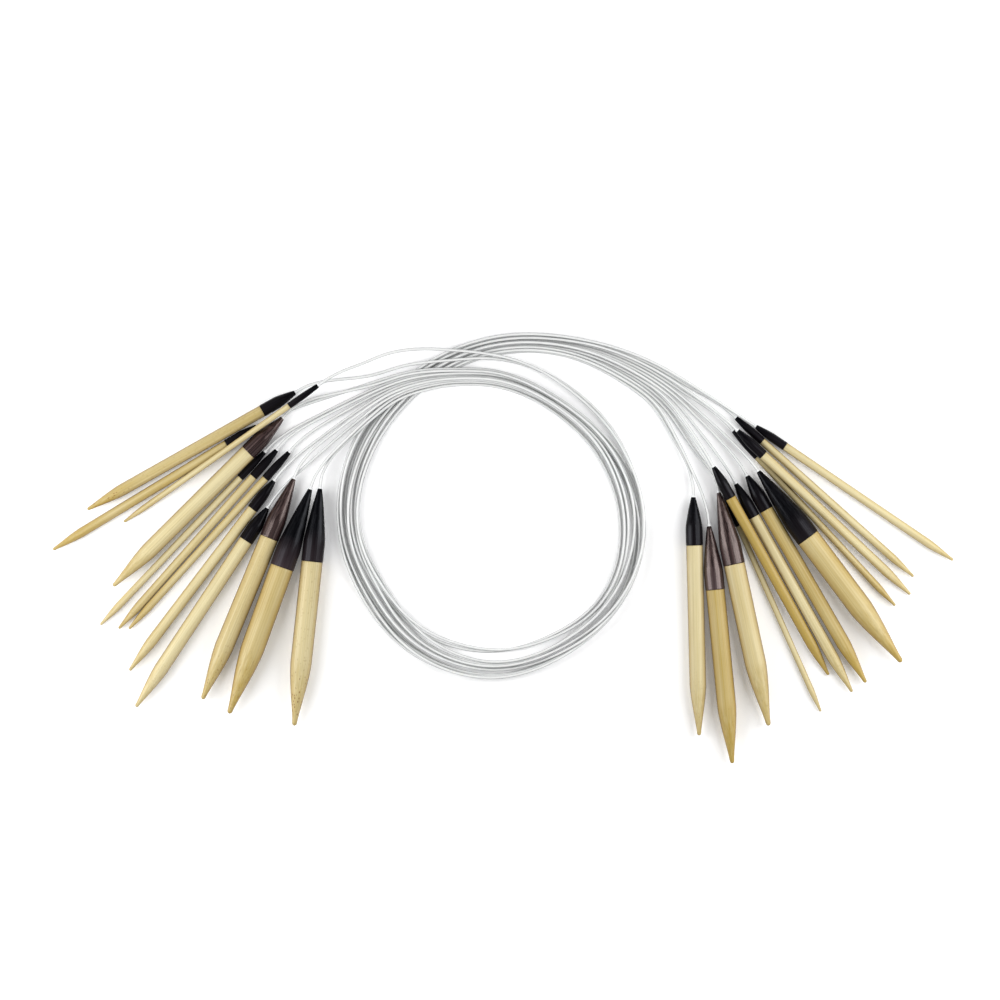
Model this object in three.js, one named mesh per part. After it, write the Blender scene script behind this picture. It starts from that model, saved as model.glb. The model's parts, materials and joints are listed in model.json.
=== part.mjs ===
// A set of twelve circular knitting needles, coiled together in one flat bundle on a table.
// Each needle is two bamboo shafts with black or brown ferrules, joined by one flexible cable
// that makes a single clockwise lap of the shared coil.
// Millimetres, +Z up, z = 0 is the table. Tips and cables are placed from the middle of the coil,
// and the whole bundle is then moved so that the origin is the middle of its footprint.
import * as THREE from "three";

// Driving dimensions of a needle tip.
const TIP_LENGTH = 100; // nose of the shaft to the mouth of the ferrule
const NOSE_RADIUS = 0.3; // radius of the blunt nose, plus a share of the needle size
const NOSE_RADIUS_PER_SIZE = 0.08;
const TAPER_LENGTH = 4; // length of the point, plus a multiple of the needle size
const TAPER_PER_SIZE = 2.5;
const TAPER_STEPS = 5;
const FACETS = 12; // an even number keeps a flat side facing the table
const CORNER = 1 / Math.cos(Math.PI / FACETS); // the flats touch the true circle, corners stand out

// Ferrule: a cone that grips the shaft's spigot at its base and the cable at its mouth.
const FERRULE_PROUD = 0.12; // how far its base stands out past the shaft
const FERRULE_MOUTH_RADIUS = 0.95;
const CONE_STEPS = 3;
const SPIGOT_STEP = 0.55; // the shaft's spigot is this much smaller than the shaft
const FIT_GAP = 0.15; // radial glue gap round the spigot and the cable
const END_GAP = 0.3; // between the shaft's shoulder and the ferrule's base

// Cable.
const CABLE_RADIUS = 0.6;
const CABLE_SIDES = 6;
const CABLE_LINKS = 60; // straight links in a cable
const HELD_JOINTS = 2; // joints at each end that stay on the tip's axis
const CABLE_STUB = 6; // length held inside the ferrule
const LEAD_STRAIGHT = 8; // the cable leaves the mouth straight for this long

// The coil. Cables of one layer never cross, and cables of a higher layer lie on lower ones.
const SAME_LAYER_PITCH = 1.4; // least distance between two cables of one layer
const CLEAR_PITCH = 1.35; // least distance between any two cable axes
const STATION_STEPS = 3; // plan points between two coil stations
const FAN_LINKS = 3; // links near a tip that keep the heights' order of the mouths
const LAP_LINKS = 20; // links further apart than this are a lap apart
const PROBES = 5; // points on a link where its neighbours are looked for
const NEAR = 20; // links whose starts are further away than this can't touch
const LAY_SWEEPS = 900;
const SETTLE_SWEEPS = 60; // last sweeps, which only lift
const SAG = 0.2; // how far a joint hangs below its neighbours' mean when unsupported

// Stations round the coil, clockwise from where the left leads join it to where the right leads
// fan out: bearing in degrees, radius, and the pitch between neighbouring cables.
const COIL = [
  [130, 73, 1.25],
  [106, 64.5, 0.7],
  [90, 61.4, 0.6],
  [60, 56.4, 0.4],
  [30, 56.6, 0.8],
  [0, 58.6, 1.2],
  [-30, 59.4, 1.05],
  [-60, 59, 1.05],
  [-90, 60.8, 0.9],
  [-120, 59.9, 0.9],
  [-150, 58, 0.9],
  [-180, 61.1, 0.65],
  [-210, 63.6, 0.7],
  [-235, 66.5, 0.4],
  [-253, 70.2, 0.3],
  [-268, 74, 0.25],
  [-290, 79.6, 0.35],
  [-308, 85.2, 1],
  [-324, 91.8, 1.6],
];
// The cables change from the left fan's order to the right fan's order between these bearings.
const REORDER_FROM = 100;
const REORDER_TO = -215;

// The needles by size, which is the shaft's diameter. A tip is the plan position of its
// ferrule's mouth, the heading of its axis from nose to mouth, how much its mouth end is tipped
// up where it lies across a neighbour, and its ferrule's colour.
const NEEDLES = [
  {
    size: 10,
    ferrule: 34.5,
    layer: 0,
    left: { mouth: [-77.13, 14.17], heading: 70.1, tilt: 0, ferrule: "black" },
    right: { mouth: [110.85, 21.68], heading: 126.9, tilt: 0, ferrule: "black" },
  },
  {
    size: 9,
    ferrule: 30.5,
    layer: 0,
    left: { mouth: [-73.03, 14.45], heading: 83.8, tilt: 0, ferrule: "black" },
    right: { mouth: [94.3, 12.8], heading: 102.1, tilt: 0, ferrule: "brown" },
  },
  {
    size: 8,
    ferrule: 26.5,
    layer: 3,
    left: { mouth: [-84.08, 18.51], heading: 67.5, tilt: 0, ferrule: "brown" },
    right: { mouth: [90.2, -1.3], heading: 95.6, tilt: 0, ferrule: "brown" },
  },
  {
    size: 7,
    ferrule: 20,
    layer: 2,
    left: { mouth: [-88.84, 44.04], heading: 44.8, tilt: 0, ferrule: "brown" },
    right: { mouth: [83.61, 10.9], heading: 91.4, tilt: 0, ferrule: "black" },
  },
  {
    size: 6,
    ferrule: 16,
    layer: 1,
    left: { mouth: [-95.11, 6.23], heading: 56.5, tilt: 0, ferrule: "black" },
    right: { mouth: [106.2, 19.76], heading: 119.9, tilt: 0, ferrule: "black" },
  },
  {
    size: 5,
    ferrule: 15.5,
    layer: 2,
    left: { mouth: [-83.55, 54.83], heading: 29.4, tilt: 0, ferrule: "black" },
    right: { mouth: [101.5, 16.44], heading: 119.2, tilt: 0, ferrule: "black" },
  },
  {
    size: 4.5,
    ferrule: 14.5,
    layer: 2,
    left: { mouth: [-92.42, 17.69], heading: 52.7, tilt: 0, ferrule: "black" },
    right: { mouth: [92.07, 23.53], heading: 119, tilt: 3.25, ferrule: "black" },
  },
  {
    size: 4,
    ferrule: 14.5,
    layer: 1,
    left: { mouth: [-99.65, 40.62], heading: 31.2, tilt: 0, ferrule: "black" },
    right: { mouth: [102.2, 38.7], heading: 136.6, tilt: 2.35, ferrule: "black" },
  },
  {
    size: 3.5,
    ferrule: 14.5,
    layer: 1,
    left: { mouth: [-91.31, 30.59], heading: 48.5, tilt: 0, ferrule: "black" },
    right: { mouth: [109.93, 40.48], heading: 145.9, tilt: 0, ferrule: "black" },
  },
  {
    size: 3.25,
    ferrule: 14.5,
    layer: 0,
    left: { mouth: [-86.11, 29.69], heading: 47.8, tilt: 0, ferrule: "black" },
    right: { mouth: [101.58, 44.19], heading: 138.2, tilt: 0, ferrule: "black" },
  },
  {
    size: 3,
    ferrule: 14.5,
    layer: 0,
    left: { mouth: [-96.41, 29.8], heading: 46.5, tilt: 0, ferrule: "black" },
    right: { mouth: [100.45, 38.74], heading: 132.8, tilt: 0, ferrule: "black" },
  },
  {
    size: 2.5,
    ferrule: 14.5,
    layer: 3,
    left: { mouth: [-73.83, 57.63], heading: 35, tilt: 5.3, ferrule: "black" },
    right: {
      mouth: [96.65, 12.3],
      heading: 113.9,
      tilt: 0,
      ferrule: "black",
      via: [86.5, 27.5],
    },
  },
];

// The order of the cables across the bundle, from the outside of the coil to the inside.
const LEFT_ORDER = [2.5, 5, 4, 7, 3, 3.5, 3.25, 4.5, 8, 6, 10, 9];
const RIGHT_ORDER = [3.5, 3.25, 4, 3, 10, 6, 5, 4.5, 9, 2.5, 8, 7];

// Some cables stray from the bundle: how far out, the bearing where, and over how many degrees.
const STRAYS = [
  { size: 2.5, out: 6, bearing: 125, spread: 40 },
  { size: 2.5, out: 5.5, bearing: 75, spread: 80 },
  { size: 5, out: 2, bearing: 128, spread: 60 },
  { size: 5, out: 6, bearing: 62, spread: 66 },
  { size: 9, out: -3.4, bearing: -95, spread: 60 },
  { size: 8, out: -3.4, bearing: -95, spread: 60 },
];
// Every cable also wanders from its lane, at most this far, half way round.
const WANDER = 0.5;
const WANDER_WAVES = 3; // waves in a lap
const WANDER_STEP = 1.9; // radians between one cable's wave and the next one's

// Where the middle of the coil lies from the middle of the footprint.
const COIL_CENTRE = [-3.79, 10.5];

const COLOURS = { bamboo: 0xdcc68c, black: 0x17181c, brown: 0x3b2a2b, cable: 0xd9dbdd };

const radians = THREE.MathUtils.degToRad;

function finish(colour, roughness) {
  return new THREE.MeshStandardMaterial({ color: colour, roughness, metalness: 0 });
}

// A solid of revolution about +X from [radius, x] points, with a flat side facing down.
function turned(profile) {
  const points = profile.map(([radius, x]) => new THREE.Vector2(radius * CORNER, x));
  return new THREE.LatheGeometry(points, FACETS, Math.PI / FACETS).rotateZ(-Math.PI / 2);
}

function noseRadius(size) {
  return NOSE_RADIUS + NOSE_RADIUS_PER_SIZE * size;
}

function taperLength(size) {
  return TAPER_LENGTH + TAPER_PER_SIZE * size;
}

// Bamboo shaft: blunt nose, swelling taper, straight body and a spigot for the ferrule.
function shaftGeometry(size, ferruleLength) {
  const radius = size / 2;
  const nose = noseRadius(size);
  const taper = taperLength(size);
  const shoulder = TIP_LENGTH - ferruleLength - END_GAP;
  const spigot = radius - SPIGOT_STEP;
  const profile = [[0, 0], [nose * 0.75, nose * 0.25]];
  for (let step = 0; step <= TAPER_STEPS; step++) {
    const along = step / TAPER_STEPS;
    const swell = (Math.sin((along * Math.PI) / 2) + along) / 2;
    profile.push([nose + (radius - nose) * swell, nose + along * (taper - nose)]);
  }
  profile.push([radius, shoulder], [spigot, shoulder]);
  profile.push([spigot, spigotEnd(ferruleLength)], [0, spigotEnd(ferruleLength)]);
  return turned(profile);
}

function spigotEnd(ferruleLength) {
  return TIP_LENGTH - ferruleLength + sleeveLength(ferruleLength);
}

// The straight sleeve at the ferrule's base. Long ferrules are mostly cone.
function sleeveLength(ferruleLength) {
  return 5.5 + 0.09 * ferruleLength;
}

// Ferrule: a straight sleeve, then a rounded cone to the cable's mouth, bored right through.
function ferruleGeometry(size, ferruleLength) {
  const radius = size / 2 + FERRULE_PROUD;
  const socket = size / 2 - SPIGOT_STEP + FIT_GAP;
  const bore = CABLE_RADIUS + FIT_GAP;
  const base = TIP_LENGTH - ferruleLength;
  const coneStart = base + sleeveLength(ferruleLength);
  const coneLength = TIP_LENGTH - coneStart;
  const floor = spigotEnd(ferruleLength) + END_GAP;
  const profile = [[socket, base], [radius, base]];
  for (let step = 0; step <= CONE_STEPS; step++) {
    const along = step / CONE_STEPS;
    const drop = 0.75 * along + 0.25 * along * along;
    const cone = radius + (FERRULE_MOUTH_RADIUS - radius) * drop;
    profile.push([cone, coneStart + along * coneLength]);
  }
  profile.push([bore, TIP_LENGTH], [bore, floor], [socket, floor], [socket, base]);
  return turned(profile);
}

// Height of a tip's axis at the nose: flat on its ferrule's sleeve, or standing on its point
// with the mouth end tipped up.
function noseHeight(size, tilt) {
  if (tilt === 0) return size / 2 + FERRULE_PROUD;
  return Math.max(noseRadius(size), size / 2 - taperLength(size) * Math.sin(radians(tilt)));
}

function placeTip(group, size, tip) {
  group.rotation.order = "ZYX";
  group.rotation.set(0, -radians(tip.tilt), radians(tip.heading));
  group.updateMatrix();
  const reach = new THREE.Vector3(TIP_LENGTH, 0, 0).applyMatrix4(group.matrix);
  const height = noseHeight(size, tip.tilt);
  group.position.set(tip.mouth[0] - reach.x, tip.mouth[1] - reach.y, height);
  group.updateMatrix();
}

function makeTip(needle, side) {
  const { size, ferrule } = needle;
  const tip = needle[side];
  const label = String(size).replace(".", "_") + "mm_" + side;
  const group = new THREE.Group();
  const shaft = new THREE.Mesh(shaftGeometry(size, ferrule), finish(COLOURS.bamboo, 0.5));
  shaft.name = "shaft_" + label;
  const cone = new THREE.Mesh(ferruleGeometry(size, ferrule), finish(COLOURS[tip.ferrule], 0.25));
  cone.name = "ferrule_" + label;
  group.add(shaft, cone);
  placeTip(group, size, tip);
  return group;
}

// Lane of every cable across the bundle at a given pitch: neighbours keep the pitch, and
// cables of one layer keep at least their own, wider pitch. Outwards is positive.
function lanes(order, pitch) {
  const layerOf = new Map(NEEDLES.map((needle) => [needle.size, needle.layer]));
  const lastInLayer = new Map();
  const lane = new Map();
  let across = -pitch;
  for (const size of order) {
    const layer = layerOf.get(size);
    const sameLayer = lastInLayer.has(layer) ? lastInLayer.get(layer) + SAME_LAYER_PITCH : 0;
    across = Math.max(across + pitch, sameLayer);
    lastInLayer.set(layer, across);
    lane.set(size, across);
  }
  for (const size of order) lane.set(size, across / 2 - lane.get(size));
  return lane;
}

function strayAt(size, bearing) {
  let out = 0;
  for (const stray of STRAYS.filter((one) => one.size === size)) {
    const away = Math.abs(bearing - stray.bearing) / stray.spread;
    if (away < 1) out += stray.out * Math.cos((away * Math.PI) / 2) ** 2;
  }
  return out;
}

function wanderAt(size, bearing) {
  const lag = WANDER_STEP * NEEDLES.findIndex((needle) => needle.size === size);
  const way = THREE.MathUtils.inverseLerp(COIL[0][0], COIL.at(-1)[0], bearing);
  return WANDER * Math.sin(Math.PI * way) * Math.sin(radians(bearing) * WANDER_WAVES + lag);
}

// A cable's plan points round the coil.
function coilPoints(size) {
  const stations = new THREE.CatmullRomCurve3(
    COIL.map((station) => new THREE.Vector3(...station)), false, "catmullrom",
  );
  const steps = (COIL.length - 1) * STATION_STEPS;
  const points = [];
  for (let step = 0; step <= steps; step++) {
    const { x: bearing, y: radius, z: pitch } = stations.getPoint(step / steps);
    const share = THREE.MathUtils.smoothstep(-bearing, -REORDER_FROM, -REORDER_TO);
    const lane = THREE.MathUtils.lerp(
      lanes(LEFT_ORDER, pitch).get(size), lanes(RIGHT_ORDER, pitch).get(size), share,
    );
    const reach = radius + lane + strayAt(size, bearing) + wanderAt(size, bearing);
    const angle = radians(bearing);
    points.push(new THREE.Vector3(reach * Math.cos(angle), reach * Math.sin(angle), 0));
  }
  return points;
}

// Points on a tip's axis from inside the ferrule to where the cable may start to bend, then
// the point that the lead is led through, if there is one.
function leadPoints(tipGroup, via) {
  const along = [-CABLE_STUB, 0, LEAD_STRAIGHT / 2, LEAD_STRAIGHT];
  const points = along.map((past) =>
    new THREE.Vector3(TIP_LENGTH + past, 0, 0).applyMatrix4(tipGroup.matrix),
  );
  if (via) points.push(new THREE.Vector3(via[0], via[1], 0));
  return points;
}

// A cable as a chain of straight links. The joints on the two tip axes are held at axis height.
function layPlan(needle, leftTip, rightTip) {
  const leftLead = leadPoints(leftTip, needle.left.via);
  const rightLead = leadPoints(rightTip, needle.right.via).reverse();
  const plan = new THREE.CatmullRomCurve3([...leftLead, ...coilPoints(needle.size), ...rightLead]);
  plan.arcLengthDivisions = 20 * CABLE_LINKS;
  const joints = plan.getSpacedPoints(CABLE_LINKS);
  for (let index = HELD_JOINTS; index <= CABLE_LINKS - HELD_JOINTS; index++) {
    joints[index].z = CABLE_RADIUS;
  }
  return { size: needle.size, layer: needle.layer, joints };
}

// Where two cables pass each other, the one on top. The left leads lie over the right leads,
// a cable near its ferrule keeps the order of the mouths' heights, and elsewhere the layers
// decide.
function isAbove(upper, upperLink, lower, lowerLink) {
  if (Math.abs(upperLink - lowerLink) > LAP_LINKS) return upperLink < lowerLink;
  if (Math.min(upperLink, lowerLink) <= FAN_LINKS) return upper.joints[0].z > lower.joints[0].z;
  if (Math.max(upperLink, lowerLink) > CABLE_LINKS - FAN_LINKS) {
    return upper.joints[CABLE_LINKS].z > lower.joints[CABLE_LINKS].z;
  }
  return upper.layer === lower.layer ? upper.size > lower.size : upper.layer > lower.layer;
}

// The share along a link, in plan, that is nearest to a point, and how far away it is.
function nearestOnLink(from, to, x, y) {
  const runX = to.x - from.x;
  const runY = to.y - from.y;
  const along = ((x - from.x) * runX + (y - from.y) * runY) / (runX ** 2 + runY ** 2);
  const share = THREE.MathUtils.clamp(along, 0, 1);
  return { share, apart: Math.hypot(x - from.x - share * runX, y - from.y - share * runY) };
}

// Every place where one cable's link has to lie above another's. Each link is probed at a few
// points against all links of the other cable, both ways round.
function findContacts(cables) {
  const contacts = [];
  for (const probed of cables) {
    for (const other of cables) {
      if (probed === other) continue;
      for (let link = 1; link <= CABLE_LINKS; link++) {
        for (let probe = 0; probe < PROBES; probe++) {
          probeLink(contacts, probed, link, probe / PROBES, other);
        }
      }
    }
  }
  return contacts;
}

function probeLink(contacts, probed, link, share, other) {
  const from = probed.joints[link - 1];
  const to = probed.joints[link];
  const x = THREE.MathUtils.lerp(from.x, to.x, share);
  const y = THREE.MathUtils.lerp(from.y, to.y, share);
  for (let otherLink = 1; otherLink <= CABLE_LINKS; otherLink++) {
    const otherFrom = other.joints[otherLink - 1];
    if (Math.abs(x - otherFrom.x) + Math.abs(y - otherFrom.y) > NEAR) continue;
    const nearest = nearestOnLink(otherFrom, other.joints[otherLink], x, y);
    if (nearest.apart >= CLEAR_PITCH) continue;
    const rise = Math.sqrt(CLEAR_PITCH ** 2 - nearest.apart ** 2);
    const mine = { cable: probed, link, share };
    const theirs = { cable: other, link: otherLink, share: nearest.share };
    if (isAbove(probed, link, other, otherLink)) contacts.push({ upper: mine, lower: theirs, rise });
    else contacts.push({ upper: theirs, lower: mine, rise });
  }
}

function heightAt({ cable, link, share }) {
  return THREE.MathUtils.lerp(cable.joints[link - 1].z, cable.joints[link].z, share);
}

function isHeld(index) {
  return index < HELD_JOINTS || index > CABLE_LINKS - HELD_JOINTS;
}

// Lifts a link's free ends so that the contact point rises by the given amount.
function liftLink({ cable, link, share }, amount) {
  const weights = [isHeld(link - 1) ? 0 : 1 - share, isHeld(link) ? 0 : share];
  const total = weights[0] ** 2 + weights[1] ** 2;
  if (total < 0.01) return;
  cable.joints[link - 1].z += (amount * weights[0]) / total;
  cable.joints[link].z += (amount * weights[1]) / total;
}

// Lays the cables down: each joint sags between its neighbours until the table or a cable
// below it carries it.
function layOnTable(cables) {
  const contacts = findContacts(cables);
  for (let sweep = 0; sweep < LAY_SWEEPS; sweep++) {
    const sag = sweep < LAY_SWEEPS - SETTLE_SWEEPS ? SAG : 0;
    for (const { joints } of cables) {
      for (let index = HELD_JOINTS; sag && index <= CABLE_LINKS - HELD_JOINTS; index++) {
        const mean = (joints[index - 1].z + joints[index + 1].z) / 2;
        joints[index].z = Math.max(CABLE_RADIUS, mean - sag);
      }
    }
    for (const { upper, lower, rise } of contacts) {
      const short = heightAt(lower) + rise - heightAt(upper);
      if (short > 0) liftLink(upper, short);
    }
  }
}

// A path whose even steps are its own points, so the extrusion turns only at the joints.
class ChainPath extends THREE.CatmullRomCurve3 {
  getPointAt(share, target) {
    return this.getPoint(share, target);
  }

  getTangentAt(share, target) {
    return this.getTangent(share, target);
  }
}

function cableGeometry(joints) {
  const section = new THREE.Shape();
  for (let side = 0; side < CABLE_SIDES; side++) {
    const angle = (2 * Math.PI * side) / CABLE_SIDES;
    const corner = [CABLE_RADIUS * Math.cos(angle), CABLE_RADIUS * Math.sin(angle)];
    if (side === 0) section.moveTo(...corner);
    else section.lineTo(...corner);
  }
  return new THREE.ExtrudeGeometry(section, {
    steps: CABLE_LINKS,
    extrudePath: new ChainPath(joints),
  });
}

const group = new THREE.Group();
group.position.set(COIL_CENTRE[0], COIL_CENTRE[1], 0);
const cables = [];
for (const needle of NEEDLES) {
  const leftTip = makeTip(needle, "left");
  const rightTip = makeTip(needle, "right");
  group.add(leftTip, rightTip);
  cables.push(layPlan(needle, leftTip, rightTip));
}
layOnTable(cables);
NEEDLES.forEach((needle, index) => {
  const cable = new THREE.Mesh(cableGeometry(cables[index].joints), finish(COLOURS.cable, 0.45));
  cable.name = "cable_" + String(needle.size).replace(".", "_") + "mm";
  group.add(cable);
});

export default group;
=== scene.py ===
"""Looks of a coiled set of bamboo circular knitting needles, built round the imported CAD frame.

Every tip (shaft and ferrule) is turned again as a smooth solid on its CAD axis, and every cable
is drawn again as a smooth tube along its CAD path. Lengths are in metres.
"""

import json
import math

import bpy
import numpy as np
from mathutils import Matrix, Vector
from mathutils.kdtree import KDTree

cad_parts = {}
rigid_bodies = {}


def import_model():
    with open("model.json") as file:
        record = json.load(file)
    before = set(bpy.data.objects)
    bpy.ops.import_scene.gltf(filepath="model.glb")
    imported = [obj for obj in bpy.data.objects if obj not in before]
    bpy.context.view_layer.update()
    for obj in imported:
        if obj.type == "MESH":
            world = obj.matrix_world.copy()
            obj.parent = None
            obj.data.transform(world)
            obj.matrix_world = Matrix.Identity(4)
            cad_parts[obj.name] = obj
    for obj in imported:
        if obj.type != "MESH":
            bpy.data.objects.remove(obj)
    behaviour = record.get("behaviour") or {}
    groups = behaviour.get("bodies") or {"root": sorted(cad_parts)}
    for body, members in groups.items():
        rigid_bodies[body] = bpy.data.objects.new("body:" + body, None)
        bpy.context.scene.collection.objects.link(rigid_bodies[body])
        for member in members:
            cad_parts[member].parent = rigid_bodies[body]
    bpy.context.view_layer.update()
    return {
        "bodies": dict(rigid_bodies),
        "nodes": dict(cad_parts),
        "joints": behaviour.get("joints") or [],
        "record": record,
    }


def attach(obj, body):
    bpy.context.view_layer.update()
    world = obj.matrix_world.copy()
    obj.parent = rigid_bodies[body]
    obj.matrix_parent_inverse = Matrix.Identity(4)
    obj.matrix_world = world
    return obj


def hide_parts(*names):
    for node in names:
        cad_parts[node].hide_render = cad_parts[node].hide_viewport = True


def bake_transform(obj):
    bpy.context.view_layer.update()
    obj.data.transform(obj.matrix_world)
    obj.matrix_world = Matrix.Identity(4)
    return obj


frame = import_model()

MM = 0.001
UP = np.array((0.0, 0.0, 1.0))

SHARP_ANGLE = math.radians(50)  # edges sharper than this are not shaded smooth
HAIR = 0.01 * MM  # keeps faces that would lie in one plane apart

# The CAD frame.
CAD_FACETS = 12
FLAT = math.cos(math.pi / CAD_FACETS)  # CAD corners stand out, and its flats touch the true circle
CAD_CABLE_SIDES = 6
RING_GAP = 0.03 * MM  # CAD corners closer than this along the axis are one ring
FULL_WIDTH = 0.999  # a ring with this share of the widest radius counts as full width

# Tips.
TURNED_SIDES = 48
NOSE_ARC = math.radians(78)
NOSE_STEPS = 7
TAPER_STEPS = 18
TAPER_CURVE = 0.6  # share of a taper's swelling that follows an S curve, the rest being straight
OGEE = 0.8  # below 1, the S curve swells sooner behind the nose
CONE_STEPS = 14
CONE_BULGE = 0.25  # how much a ferrule's cone bulges between its two ends
CONE_EASE = 2 * MM  # the sleeve starts to close in this far before the cone
BEVEL = 0.14 * MM
JOINT_GAP = 0.04 * MM  # the fine dark line between a shaft's shoulder and its ferrule
SOCKET_CLEARANCE = 0.15 * MM
BORE_RADIUS = 0.68 * MM
BEAD_RADIUS = 0.82 * MM  # the white sleeve that shows where a cable enters its ferrule
BEAD_LENGTH = 0.9 * MM
BEAD_HELD = 0.5 * MM  # length of the bead inside the bore
BEAD_RIM = 0.25 * MM

# Cables.
CABLE_RADIUS = 0.6 * MM
CABLE_SIDES = 14
CABLE_STUB = 6 * MM  # length held inside a ferrule
CABLE_FIXED = 2.2 * CABLE_STUB  # length at each end, stub included, that is never pushed aside
SAMPLE_STEP = 1.1 * MM
CURVE_STEPS = 14  # samples between two CAD joints before the even resampling
CABLE_PITCH = 1.21 * MM  # least distance between the middles of two cables
CABLE_SEARCH = 2.4 * CABLE_RADIUS  # samples farther apart than this are never compared
SAME_STRAND = 60  # samples of one cable closer than this are neighbours, not a crossing
SAME_PLACE = 0.001 * MM  # samples closer than this have no direction to be pushed in
SEPARATE_ROUNDS = 24
PUSH_SHARE = 0.8  # share of each push taken in one round
EVEN_SHARE = 0.3  # share of a sample's distance from its neighbours' middle that is taken out

# Camera, floor and light. The camera looks straight down.
VIEW_WIDTH = 0.42
VIEW_CENTRE = (-0.0013, 0.0202)
VIEW_HEIGHT = 4.0
FLOOR_WIDTH = 6.0
FLOOR_GLOW = 0.12
CEILING_LIGHT = 0.25
WALL_LIGHT = 0.7
SOFTBOX_SIZE = (0.25, 0.5)
SOFTBOX_WATTS = 2.3


# ---------------------------------------------------------------- reading the CAD frame


def corners_of(node):
    """A CAD node's corners, each one once, and the edges between them."""
    mesh = frame["nodes"][node].data
    places = np.array([vertex.co for vertex in mesh.vertices])
    corners, index = np.unique(np.round(places, 6), axis=0, return_inverse=True)
    index = index.ravel()
    edges = {tuple(sorted((index[a], index[b]))) for a, b in (e.vertices for e in mesh.edges)}
    return corners, edges


class Tip:
    """A rigid tip's axis, from the shaft's nose to the ferrule's mouth, and its main sizes."""

    def __init__(self, label):
        shaft, _ = corners_of("shaft_" + label)
        ferrule, _ = corners_of("ferrule_" + label)
        middle = shaft.mean(axis=0)
        axis = np.linalg.svd(shaft - middle)[2][0]
        if (ferrule.mean(axis=0) - middle) @ axis < 0:
            axis = -axis
        self.label = label
        self.axis = axis
        self.nose = middle + axis * ((shaft - middle) @ axis).min()
        self.side = np.cross(UP, axis)
        self.side /= np.linalg.norm(self.side)
        self.top = np.cross(axis, self.side)
        shaft_rings = self.rings(shaft)
        ferrule_rings = self.rings(ferrule)
        self.radius = max(radius for _, radius in shaft_rings)
        full = [x for x, radius in shaft_rings if radius > FULL_WIDTH * self.radius]
        self.taper_end, self.shoulder = full[0], full[-1]
        self.nose_radius = shaft_rings[2][1]
        self.spigot_end, self.spigot_radius = shaft_rings[-1]
        self.mouth, self.mouth_radius = ferrule_rings[-1]
        self.sleeve_radius = ferrule_rings[0][1]

    def rings(self, corners):
        """(distance from the nose, true radius) of a node's outermost rings."""
        offset = corners - self.nose
        along = offset @ self.axis
        radius = np.linalg.norm(offset - np.outer(along, self.axis), axis=1) * FLAT
        order = np.argsort(along)
        breaks = np.where(np.diff(along[order]) > RING_GAP)[0] + 1
        return [(along[ring].mean(), radius[ring].max()) for ring in np.split(order, breaks)]

    def at(self, along):
        return self.nose + self.axis * along


def cable_joints(node, left, right):
    """The middles of a CAD cable's rings, in order from its left tip to its right tip."""
    corners, edges = corners_of(node)
    neighbours = [[] for _ in corners]
    for a, b in edges:
        neighbours[a].append(b)
        neighbours[b].append(a)
    start = left.at(left.mouth - CABLE_STUB)
    ring = set(np.argsort(np.linalg.norm(corners - start, axis=1))[:CAD_CABLE_SIDES].tolist())
    seen = set(ring)
    middles = []
    while ring:
        middles.append(corners[sorted(ring)].mean(axis=0))
        ring = {b for a in ring for b in neighbours[a]} - seen
        seen |= ring
    return np.array(middles)


# ---------------------------------------------------------------- meshes


def new_piece(name, places, faces, local):
    """A smooth piece. Local holds each point again, in the piece's own axis frame."""
    mesh = bpy.data.meshes.new(name)
    mesh.from_pydata([tuple(place) for place in places], [], faces)
    mesh.shade_smooth()
    attribute = mesh.attributes.new("local", "FLOAT_VECTOR", "POINT")
    attribute.data.foreach_set("vector", np.array(local, np.float32).ravel())
    piece = bpy.data.objects.new(name, mesh)
    bpy.context.scene.collection.objects.link(piece)
    return piece


def turned(name, tip, outline):
    """A smooth solid of revolution on a tip's axis. The outline's [distance, radius] points run
    from axis to axis, or round a closed loop when the first one is off the axis."""
    places, local, rings = [], [], []
    for along, radius in outline:
        sides = 1 if radius == 0 else TURNED_SIDES
        rings.append(range(len(places), len(places) + sides))
        for step in range(sides):
            angle = 2 * math.pi * step / TURNED_SIDES
            across, height = radius * math.cos(angle), radius * math.sin(angle)
            places.append(tip.at(along) + tip.side * across + tip.top * height)
            local.append((along, across, height))
    pairs = list(zip(rings, rings[1:]))
    if outline[0][1] > 0:
        pairs.append((rings[-1], rings[0]))
    faces = []
    for first, second in pairs:
        for step in range(TURNED_SIDES):
            after = (step + 1) % TURNED_SIDES
            if len(first) == 1:
                faces.append((first[0], second[after], second[step]))
            elif len(second) == 1:
                faces.append((first[step], first[after], second[0]))
            else:
                faces.append((first[step], first[after], second[after], second[step]))
    piece = new_piece(name, places, [face[::-1] for face in faces], local)
    piece.data.set_sharp_from_angle(angle=SHARP_ANGLE)
    return piece


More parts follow.
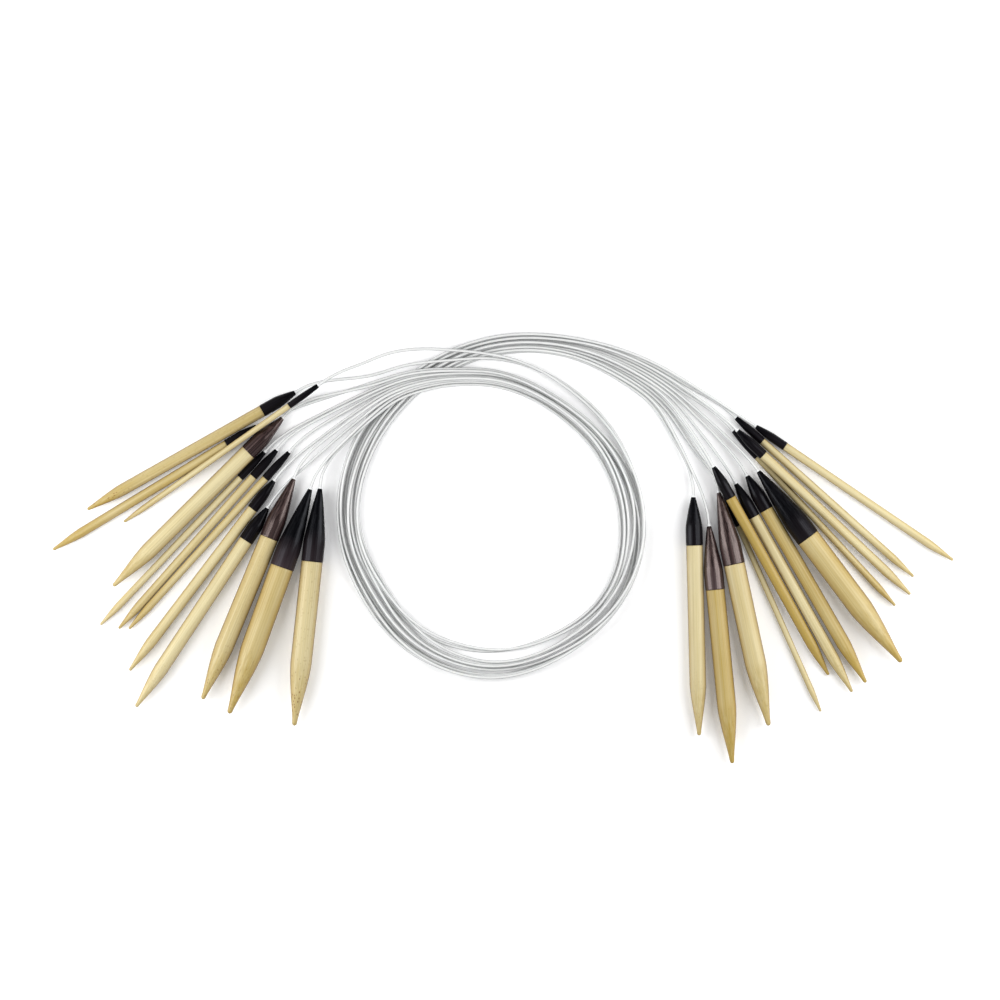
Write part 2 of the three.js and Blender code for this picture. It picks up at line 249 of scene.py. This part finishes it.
def shaft_outline(tip):
    """Blunt round nose, swelling taper, straight body, and the spigot inside the ferrule."""
    outline = [(0, 0)]
    for step in range(1, NOSE_STEPS + 1):
        angle = NOSE_ARC * step / NOSE_STEPS
        along = tip.nose_radius * (1 - math.cos(angle)) / (1 - math.cos(NOSE_ARC))
        outline.append((along, tip.nose_radius * math.sin(angle) / math.sin(NOSE_ARC)))
    for step in range(1, TAPER_STEPS + 1):
        share = step / TAPER_STEPS
        eased = share**OGEE
        s_curve = eased * eased * (3 - 2 * eased)
        swell = (1 - TAPER_CURVE) * share + TAPER_CURVE * s_curve
        along = tip.nose_radius + share * (tip.taper_end - tip.nose_radius)
        outline.append((along, tip.nose_radius + (tip.radius - tip.nose_radius) * swell))
    straight = tip.shoulder - BEVEL - tip.taper_end
    for share in (0.03, 0.5, 0.97, 1):
        outline.append((tip.taper_end + straight * share, tip.radius))
    outline += [
        (tip.shoulder - BEVEL * 0.3, tip.radius - BEVEL * 0.3),
        (tip.shoulder, tip.radius - BEVEL),
        (tip.shoulder, tip.spigot_radius),
        (tip.spigot_end, tip.spigot_radius),
        (tip.spigot_end, 0),
    ]
    return outline


def ferrule_outline(tip):
    """A sleeve, a slightly rounded cone and a bevelled mouth, bored for the spigot and cable."""
    base = tip.shoulder + JOINT_GAP
    sleeve_end = tip.spigot_end
    socket = tip.spigot_radius + SOCKET_CLEARANCE
    floor = sleeve_end + 2 * SOCKET_CLEARANCE
    outer = tip.sleeve_radius
    outline = [
        (base, socket),
        (base, outer - BEVEL),
        (base + BEVEL * 0.3, outer - BEVEL * 0.3),
        (base + BEVEL, outer),
        (base + BEVEL * 3, outer),
        (sleeve_end - CONE_EASE, outer),
        (sleeve_end - 0.4 * CONE_EASE, outer * 0.997),
    ]
    cone_end = tip.mouth - BEVEL
    for step in range(1, CONE_STEPS + 1):
        share = step / CONE_STEPS
        drop = (1 - CONE_BULGE) * share + CONE_BULGE * share * share
        radius = outer + (tip.mouth_radius - outer) * drop
        outline.append((sleeve_end + share * (cone_end - sleeve_end), radius))
    outline += [
        (tip.mouth, tip.mouth_radius - BEVEL),
        (tip.mouth, BORE_RADIUS),
        (floor, BORE_RADIUS),
        (floor, socket),
    ]
    return outline


def bead_outline(tip):
    """The white sleeve round the cable, from inside the bore to just outside the mouth."""
    inside = tip.mouth - BEAD_HELD
    outside = tip.mouth + 2 * HAIR
    end = tip.mouth + BEAD_LENGTH
    return [
        (inside, CABLE_RADIUS),
        (inside, BORE_RADIUS - HAIR),
        (outside, BORE_RADIUS - HAIR),
        (outside, BEAD_RADIUS),
        (end - BEAD_RIM, BEAD_RADIUS),
        (end - BEAD_RIM / 3, BEAD_RADIUS - BEAD_RIM / 3),
        (end, CABLE_RADIUS + 2 * HAIR),
        (end, CABLE_RADIUS),
    ]


def smooth_path(knots):
    """A natural cubic spline through the knots, resampled in even steps."""
    chords = np.linalg.norm(np.diff(knots, axis=0), axis=1)
    times = np.concatenate(([0], np.cumsum(chords)))
    count = len(knots)
    system, right = np.eye(count), np.zeros((count, 3))
    for i in range(1, count - 1):
        before, after = chords[i - 1], chords[i]
        system[i, i - 1:i + 2] = before, 2 * (before + after), after
        right[i] = 6 * ((knots[i + 1] - knots[i]) / after - (knots[i] - knots[i - 1]) / before)
    bend = np.linalg.solve(system, right)
    now = np.linspace(0, times[-1], CURVE_STEPS * count)
    link = np.clip(np.searchsorted(times, now, side="right") - 1, 0, count - 2)
    span = chords[link][:, None]
    back = (times[link + 1] - now)[:, None] / span
    ahead = 1 - back
    points = back * knots[link] + ahead * knots[link + 1]
    points += ((back**3 - back) * bend[link] + (ahead**3 - ahead) * bend[link + 1]) * span**2 / 6
    lengths = np.concatenate(([0], np.cumsum(np.linalg.norm(np.diff(points, axis=0), axis=1))))
    even = np.linspace(0, lengths[-1], round(lengths[-1] / SAMPLE_STEP) + 1)
    return np.column_stack([np.interp(even, lengths, points[:, axis]) for axis in range(3)])


def cable_path(size, left, right):
    """A cable's middle line: straight out of both ferrules, and through its CAD joints between."""
    joints = cable_joints("cable_" + size, left, right)
    held = [-CABLE_STUB, -CABLE_STUB / 2, 0]
    first = [left.at(left.mouth + past) for past in held]
    last = [right.at(right.mouth + past) for past in reversed(held)]
    return smooth_path(np.vstack((first, joints[1:-1], last)))


def separate(paths):
    """Pushes the cables apart, so that none of them cuts into another or into the table."""
    held = round(CABLE_FIXED / SAMPLE_STEP)
    owner = np.concatenate([np.full(len(path), index) for index, path in enumerate(paths)])
    starts = np.cumsum([0] + [len(path) for path in paths])
    free = np.ones(len(owner), bool)
    for start, end in zip(starts, starts[1:]):
        free[start:start + held] = False
        free[end - held:end] = False
    points = np.vstack(paths)
    for _ in range(SEPARATE_ROUNDS):
        tangents = np.gradient(points, axis=0)
        tangents /= np.linalg.norm(tangents, axis=1)[:, None]
        tree = KDTree(len(points))
        for index, point in enumerate(points):
            tree.insert(point, index)
        tree.balance()
        push = np.zeros_like(points)
        for index in np.where(free)[0]:
            for _, other, _ in tree.find_range(points[index], CABLE_SEARCH):
                if owner[other] == owner[index] and abs(other - index) < SAME_STRAND:
                    continue
                offset = points[index] - points[other]
                offset -= (offset @ tangents[other]) * tangents[other]
                apart = math.sqrt(offset @ offset)
                if SAME_PLACE < apart < CABLE_PITCH:
                    step = offset * ((CABLE_PITCH - apart) / apart * 0.5)
                    if step @ step > push[index] @ push[index]:
                        push[index] = step
        points += push * PUSH_SHARE
        for start, end in zip(starts, starts[1:]):
            middle = slice(start + held, end - held)
            before = points[start + held - 1:end - held - 1]
            after = points[start + held + 1:end - held + 1]
            points[middle] += ((before + after) / 2 - points[middle]) * EVEN_SHARE
        points[:, 2] = np.maximum(points[:, 2], CABLE_RADIUS)
    return [points[start:end] for start, end in zip(starts, starts[1:])]


def tube(name, path, reach):
    """A round closed tube along a path. Reach is the path's length before its first point."""
    tangents = np.gradient(path, axis=0)
    tangents /= np.linalg.norm(tangents, axis=1)[:, None]
    side = np.cross(UP, tangents)
    side /= np.linalg.norm(side, axis=1)[:, None]
    top = np.cross(tangents, side)
    places, local, faces = [], [], []
    for index, middle in enumerate(path):
        for step in range(CABLE_SIDES):
            angle = 2 * math.pi * step / CABLE_SIDES
            across, height = CABLE_RADIUS * math.cos(angle), CABLE_RADIUS * math.sin(angle)
            places.append(middle + side[index] * across + top[index] * height)
            local.append((reach + index * SAMPLE_STEP, across, height))
            if index:
                before = (index - 1) * CABLE_SIDES
                after = (step + 1) % CABLE_SIDES
                here = index * CABLE_SIDES
                faces.append((before + step, before + after, here + after, here + step))
    faces.append(tuple(range(CABLE_SIDES))[::-1])
    last = (len(path) - 1) * CABLE_SIDES
    faces.append(tuple(range(last, last + CABLE_SIDES)))
    piece = new_piece(name, places, faces, local)
    piece.data.set_sharp_from_angle(angle=SHARP_ANGLE)
    return piece


# ---------------------------------------------------------------- materials


class Shader:
    """A material's node tree, built up from small calls. Inputs are values or other sockets."""

    def __init__(self, name):
        self.material = bpy.data.materials.new(name)
        self.material.use_nodes = True
        self.tree = self.material.node_tree
        self.surface = self.tree.nodes["Principled BSDF"]

    def set(self, node, inputs):
        """Sets a node's inputs: a socket is linked, and anything else is the input's own value."""
        for key, value in inputs.items():
            if isinstance(value, bpy.types.NodeSocket):
                self.tree.links.new(value, node.inputs[key])
            else:
                node.inputs[key].default_value = value

    def node(self, kind, inputs=None, **settings):
        made = self.tree.nodes.new(kind)
        for key, value in settings.items():
            setattr(made, key, value)
        self.set(made, inputs or {})
        return made

    def math(self, operation, first, second, clamp=False):
        made = self.node("ShaderNodeMath", {0: first, 1: second}, operation=operation)
        made.use_clamp = clamp
        return made.outputs[0]

    def ranged(self, value, low, high, to_low, to_high):
        """Low to high, stretched to other ends and held there. Most noise is from 0.3 to 0.7."""
        made = self.node("ShaderNodeMapRange", {0: value, 1: low, 2: high, 3: to_low, 4: to_high})
        return made.outputs[0]

    def mix(self, share, first, second, blend="MIX"):
        made = self.node("ShaderNodeMix", data_type="RGBA", blend_type=blend)
        self.set(made, {0: share, 6: first, 7: second})
        return made.outputs[2]

    def local(self, scale, shift=(0, 0, 0)):
        """The point on the piece's own axis frame: along, across and up, stretched by scale."""
        found = self.node("ShaderNodeAttribute", attribute_name="local")
        return self.node(
            "ShaderNodeMapping", {0: found.outputs["Vector"], 1: shift, 3: scale}
        ).outputs[0]

    def grey(self, value):
        return self.node("ShaderNodeCombineColor", {0: value, 1: value, 2: value}).outputs[0]

    def sideways(self):
        """0 where the surface faces the eye, 1 where it is seen edge on."""
        return self.node("ShaderNodeLayerWeight", {"Blend": 0.5}).outputs["Facing"]

    def along(self):
        """The distance along the piece's own axis."""
        split = self.node("ShaderNodeSeparateXYZ", {0: self.local((1, 1, 1))})
        return split.outputs["X"]

    def noise(self, vector, detail=2.0, roughness=0.5):
        made = self.node("ShaderNodeTexNoise", {"Vector": vector, "Scale": 1.0, "Detail": detail})
        self.set(made, {"Roughness": roughness})
        return made.outputs[0]

    def bump(self, height, strength, distance):
        made = self.node("ShaderNodeBump", {"Height": height, "Strength": strength})
        made.inputs["Distance"].default_value = distance
        return made.outputs[0]


def rgb(red, green, blue):
    """A display colour, 0 to 255, as the linear colour that a node takes."""
    parts = [part / 255 for part in (red, green, blue)]
    return tuple(p / 12.92 if p < 0.04045 else ((p + 0.055) / 1.055) ** 2.4 for p in parts) + (1,)


def bamboo(name, pale, golden, gold_share, specks, seed):
    """Bamboo: fine fibres along the shaft, soft golden streaks, painted shade in deeper ochre
    towards the sides, and cut fibre ends as specks."""
    shader = Shader(name)
    shift = (seed * 0.37, seed * 1.7, seed * 2.3)
    fibres = shader.noise(shader.local((25, 2700, 2700), shift), 3.0, 0.6)
    streaks = shader.noise(shader.local((6, 1200, 1200), shift), 2.0, 0.5)
    patches = shader.noise(shader.local((35, 130, 130), shift), 2.0)
    bundles = shader.node(
        "ShaderNodeTexVoronoi", {"Vector": shader.local((750, 1500, 1500), shift), "Scale": 1.0}
    )
    share = shader.ranged(streaks, 0.36, 0.66, gold_share - 0.15, gold_share + 0.15)
    share = shader.math("ADD", share, shader.ranged(patches, 0.3, 0.7, -0.12, 0.12))
    worn = shader.ranged(shader.along(), 0.0, WORN_LENGTH, 0.4, 0.0)
    share = shader.math("ADD", share, worn, clamp=True)
    colour = shader.mix(share, pale, golden)
    tone = shader.ranged(fibres, 0.3, 0.7, 0.82, 1.0)
    colour = shader.mix(1.0, colour, shader.grey(tone), "MULTIPLY")
    sideways = shader.sideways()
    # Painted shade: the sides darken to ochre, then deep ochre, as they turn from the eye.
    colour = shader.mix(shader.ranged(sideways, 0.1, 0.45, 0.0, 0.35), colour, SIDE_SHADE_OCHRE)
    colour = shader.mix(shader.ranged(sideways, 0.45, 0.8, 0.0, 0.8), colour, EDGE_SHADE_OCHRE)
    chosen = shader.node("ShaderNodeSeparateColor", {0: bundles.outputs["Color"]}).outputs["Red"]
    dots = shader.ranged(bundles.outputs["Distance"], 0.25, 0.45, 1.0, 0.0)
    dots = shader.math("MULTIPLY", dots, shader.math("GREATER_THAN", chosen, 0.7))
    near_nose = shader.ranged(shader.along(), SPECKS_FADE, SPECKS_LAST, 1.0, 0.2)
    dots = shader.math("MULTIPLY", dots, near_nose)
    dots = shader.math("MULTIPLY", dots, specks, clamp=True)
    colour = shader.mix(dots, colour, SPECK)
    height = shader.math("SUBTRACT", fibres, shader.math("MULTIPLY", dots, 0.5))
    shader.set(shader.surface, {
        "Base Color": colour,
        "Roughness": shader.ranged(fibres, 0.3, 0.7, 0.54, 0.42),
        "Specular IOR Level": 0.35,
        "Coat Weight": 0.08,
        "Coat Roughness": 0.35,
        "Normal": shader.bump(height, 0.2, 0.05 * MM),
    })
    return shader.material


def horn(name, dark, light, glint, gloss, tint_share, base, seed):
    """Turned ferrule: dark, with lighter and glossier streaks along it, and a tinted base end."""
    shader = Shader(name)
    shift = (seed * 0.53, seed * 2.1, seed * 1.3)
    streaks = shader.noise(shader.local((8, 1700, 1700), shift), 2.0, 0.5)
    fine = shader.noise(shader.local((220, 6500, 6500), shift), 2.0, 0.6)
    colour = shader.mix(shader.ranged(streaks, 0.42, 0.68, 0, 1), dark, light)
    near_base = shader.ranged(shader.along(), base, base + TINT_LENGTH, tint_share, 0.0)
    tint = shader.math("MULTIPLY", near_base, shader.ranged(fine, 0.3, 0.7, 0.5, 1.0), clamp=True)
    colour = shader.mix(tint, colour, TINT)
    shader.set(shader.surface, {
        "Base Color": colour,
        "Roughness": shader.ranged(streaks, 0.3, 0.7, 0.22, 0.34),
        "IOR": 1.5 + 0.25 * gloss,
        "Specular IOR Level": shader.ranged(streaks, 0.35, 0.6, 0.5 * gloss, gloss),
        "Specular Tint": glint,
        "Coat Weight": 0.05,
        "Coat Roughness": 0.2,
        "Normal": shader.bump(shader.math("ADD", streaks, fine), 0.2, 0.05 * MM),
    })
    return shader.material


def clear_plastic(name, core, shaded_rim, seed):
    """Translucent nylon line: bright where it faces the eye, with painted shade in grey at its
    rims, slightly cloudy.
    """
    shader = Shader(name)
    shift = (seed * 3.1, seed, seed)
    cloud = shader.noise(shader.local((160, 900, 900), shift), 3.0)
    # Painted shade: the rims turn grey as they turn from the eye.
    edge = shader.ranged(shader.sideways(), 0.15, 0.75, 0.0, 1.0)
    rim_shade_share = shader.math("ADD", edge, shader.ranged(cloud, 0.3, 0.7, -0.08, 0.08), clamp=True)
    shader.set(shader.surface, {
        "Base Color": shader.mix(rim_shade_share, core, shaded_rim),
        "Roughness": shader.ranged(cloud, 0.3, 0.7, 0.22, 0.34),
        "Specular IOR Level": 0.4,
        "Normal": shader.bump(cloud, 0.1, 0.02 * MM),
    })
    glow = shader.node("ShaderNodeBsdfTranslucent", {"Color": core})
    blend = shader.node(
        "ShaderNodeMixShader", {0: 0.2, 1: shader.surface.outputs[0], 2: glow.outputs[0]}
    )
    shader.tree.links.new(blend.outputs[0], shader.tree.nodes["Material Output"].inputs["Surface"])
    return shader.material


def paper(name, glow):
    """The pale floor: a matt white sheet with a barely visible grain, faintly lit from below."""
    shader = Shader(name)
    place = shader.node("ShaderNodeTexCoord").outputs["Object"]
    grain = shader.noise(shader.node("ShaderNodeMapping", {0: place, 3: (900, 900, 900)}).outputs[0])
    share = shader.ranged(grain, 0.3, 0.7, 0, 1)
    colour = shader.mix(share, PAPER, LIGHT_PAPER)
    shader.set(shader.surface, {
        "Base Color": colour,
        "Roughness": 0.8,
        "Emission Color": colour,
        "Emission Strength": glow,
    })
    return shader.material


# ---------------------------------------------------------------- the pieces

# Bamboo: its ground, its golden streaks, the ochre of the painted shade at its sides, and its
# specks.
PALE = rgb(211, 198, 154)
GOLDEN = rgb(174, 148, 74)
# The next two colours are painted shade at the shafts' sides, lighter and deeper.
SIDE_SHADE_OCHRE = rgb(150, 118, 52)
EDGE_SHADE_OCHRE = rgb(92, 66, 28)
SPECK = rgb(124, 88, 38)
WORN_LENGTH = 28 * MM  # the noses are more golden, and it fades out by here
SPECKS_FADE = 10 * MM  # specks are strongest up to here,
SPECKS_LAST = 30 * MM  # and faint from here on
# How golden and how speckled each shaft is, where it isn't as usual.
GOLD = 0.15
SPECKS = 0.2
GOLDEN_SHAFTS = {
    "10mm_left": 0.6, "10mm_right": 0.6, "9mm_left": 0.25, "9mm_right": 0.3, "8mm_left": 0.4,
    "8mm_right": 0.75, "6mm_right": 0.7, "5mm_left": 0.5, "4_5mm_right": 1.0, "4mm_left": 0.55,
    "3_5mm_left": 0.35, "3_25mm_left": 0.35, "3mm_right": 0.4, "6mm_left": 0.0, "3mm_left": 0.0,
}
SPECKLED_SHAFTS = {"9mm_left": 1.0, "8mm_left": 0.6, "10mm_left": 0.4, "5mm_left": 0.8}
# Each ferrule colour's dark ground, lighter streaks, tint of its reflections, and how glossy
# the streaks are.
HORNS = {
    "ferrule_black": (rgb(3, 3, 5), rgb(9, 9, 12), rgb(236, 240, 255), 0.1),
    "ferrule_brown": (rgb(24, 13, 13), rgb(54, 37, 36), rgb(255, 232, 226), 0.55),
}
TINT = rgb(70, 58, 62)
TINT_LENGTH = 14 * MM  # a ferrule's tint fades out this far from its base
USUAL_TINT = 0.1
TINTED_FERRULES = {"10mm_left": 0.7, "9mm_left": 0.35, "10mm_right": 0.15, "8mm_right": 0.6}
# Nylon, the beads at the mouths, and the floor. The nylon's and the beads' rim colours are painted
# shade.
NYLON, NYLON_RIM_SHADE = rgb(240, 241, 240), rgb(122, 124, 127)
BEAD, BEAD_SIDE_SHADE = rgb(247, 248, 248), rgb(214, 216, 216)
PAPER, LIGHT_PAPER = rgb(246, 246, 247), rgb(250, 250, 250)

slots = {row["node"]: row["material_slot"] for row in frame["record"]["subparts"]}
labels = sorted(body[len("tip_"):] for body in frame["bodies"] if body.startswith("tip_"))
tips = {label: Tip(label) for label in labels}
joints = {joint["name"]: joint for joint in frame["joints"]}


def build_tip(label, seed):
    """A tip's shaft and ferrule, and the white bead at its mouth. All three ride on its body."""
    tip = tips[label]
    shaft = turned("bamboo_" + label, tip, shaft_outline(tip))
    shaft.data.materials.append(bamboo(
        "bamboo_" + label, PALE, GOLDEN, GOLDEN_SHAFTS.get(label, GOLD),
        SPECKLED_SHAFTS.get(label, SPECKS), seed,
    ))
    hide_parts("shaft_" + label)
    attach(shaft, "tip_" + label)
    slot = slots["ferrule_" + label]
    collar = turned("collar_" + label, tip, ferrule_outline(tip))
    tint = TINTED_FERRULES.get(label, USUAL_TINT)
    look = horn(slot + "_" + label, *HORNS[slot], tint, tip.shoulder, seed)
    collar.data.materials.append(look)
    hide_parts("ferrule_" + label)
    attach(collar, "tip_" + label)
    bead = turned("bead_" + label, tip, bead_outline(tip))
    bead.data.materials.append(clear_plastic("bead_" + label, BEAD, BEAD_SIDE_SHADE, seed))
    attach(bead, "tip_" + label)


def past_hinge(path, joint):
    """How far each point lies past a joint's hinge line, on the tips' side, and that direction."""
    outward = np.cross(UP, joint["axis"])
    return (path - np.array(joint["pos_m"])) @ outward, outward


def build_lead(name, path, reach, tip, joint):
    """The stretch of cable between the coil and a tip."""
    piece = tube(name, path, reach)
    past, outward = past_hinge(np.array([tip.at(tip.mouth)]), joint)
    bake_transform(piece)
    return piece


def build_cable(size, path, seed):
    """Three tubes: a lead to each tip, and the rest, which lies still in the coil."""
    left, right = tips[size + "_left"], tips[size + "_right"]
    left_past, _ = past_hinge(path, joints["lift_" + left.label])
    right_past, _ = past_hinge(path, joints["lift_" + right.label])
    first = int(np.argmax(left_past < 0))
    last = len(path) - 1 - int(np.argmax(right_past[::-1] < 0))
    look = clear_plastic("cable_" + size, NYLON, NYLON_RIM_SHADE, seed)
    pieces = [
        build_lead(f"lead_{size}_left", path[:first + 1], 0, left, joints["lift_" + left.label]),
        tube(f"strand_{size}", path[first:last + 1], first * SAMPLE_STEP),
        build_lead(
            f"lead_{size}_right", path[last:], last * SAMPLE_STEP, right,
            joints["lift_" + right.label],
        ),
    ]
    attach(pieces[1], "coil")
    for piece in pieces:
        piece.data.materials.append(look)
        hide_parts("cable_" + size)


for seed, label in enumerate(labels):
    build_tip(label, seed)
sizes = [label[:-len("_left")] for label in labels if label.endswith("_left")]
paths = [cable_path(size, tips[size + "_left"], tips[size + "_right"]) for size in sizes]
paths = separate(paths)
for seed, (size, path) in enumerate(zip(sizes, paths)):
    build_cable(size, path, seed)


# ---------------------------------------------------------------- stage


def build_floor():
    """A plain sheet, just under what rests on it."""
    mesh = bpy.data.meshes.new("floor")
    half = FLOOR_WIDTH / 2
    corners = [(-half, -half, 0), (half, -half, 0), (half, half, 0), (-half, half, 0)]
    mesh.from_pydata(corners, [], [(0, 1, 2, 3)])
    floor = bpy.data.objects.new("floor", mesh)
    floor.location.z = -2 * HAIR
    mesh.materials.append(paper("floor", FLOOR_GLOW))
    bpy.context.scene.collection.objects.link(floor)


def build_softbox(name, place, aim):
    lamp = bpy.data.lights.new(name, "AREA")
    lamp.shape = "RECTANGLE"
    lamp.size, lamp.size_y = SOFTBOX_SIZE
    lamp.energy = SOFTBOX_WATTS
    box = bpy.data.objects.new(name, lamp)
    box.location = place
    box.rotation_euler = (Vector(aim) - Vector(place)).to_track_quat("-Z", "Y").to_euler()
    bpy.context.scene.collection.objects.link(box)


def build_world():
    """Studio room light: a dim ceiling above the camera and brighter walls."""
    world = bpy.data.worlds.new("studio")
    world.use_nodes = True
    tree = world.node_tree
    direction = tree.nodes.new("ShaderNodeTexCoord").outputs["Generated"]
    height = tree.nodes.new("ShaderNodeSeparateXYZ")
    tree.links.new(direction, height.inputs[0])
    strength = tree.nodes.new("ShaderNodeMapRange")
    tree.links.new(height.outputs["Z"], strength.inputs["Value"])
    strength.inputs["To Min"].default_value = WALL_LIGHT
    strength.inputs["To Max"].default_value = CEILING_LIGHT
    tree.links.new(strength.outputs[0], tree.nodes["Background"].inputs["Strength"])
    tree.nodes["Background"].inputs["Color"].default_value = (1, 1, 1, 1)
    bpy.context.scene.world = world


def build_camera():
    """A long lens high above, so that the view is nearly without perspective."""
    lens = bpy.data.cameras.new("camera")
    lens.lens = lens.sensor_width * VIEW_HEIGHT / VIEW_WIDTH
    lens.clip_start, lens.clip_end = 0.1, 10
    camera = bpy.data.objects.new("camera", lens)
    camera.location = (VIEW_CENTRE[0], VIEW_CENTRE[1], VIEW_HEIGHT)
    bpy.context.scene.collection.objects.link(camera)
    bpy.context.scene.camera = camera


build_floor()
build_world()
build_softbox("softbox_left", (-0.42, 0.0, 0.27), (-0.08, 0, 0))
build_softbox("softbox_right", (0.42, 0.08, 0.27), (0.08, 0, 0))
build_camera()
bpy.context.scene.view_settings.view_transform = "Standard"
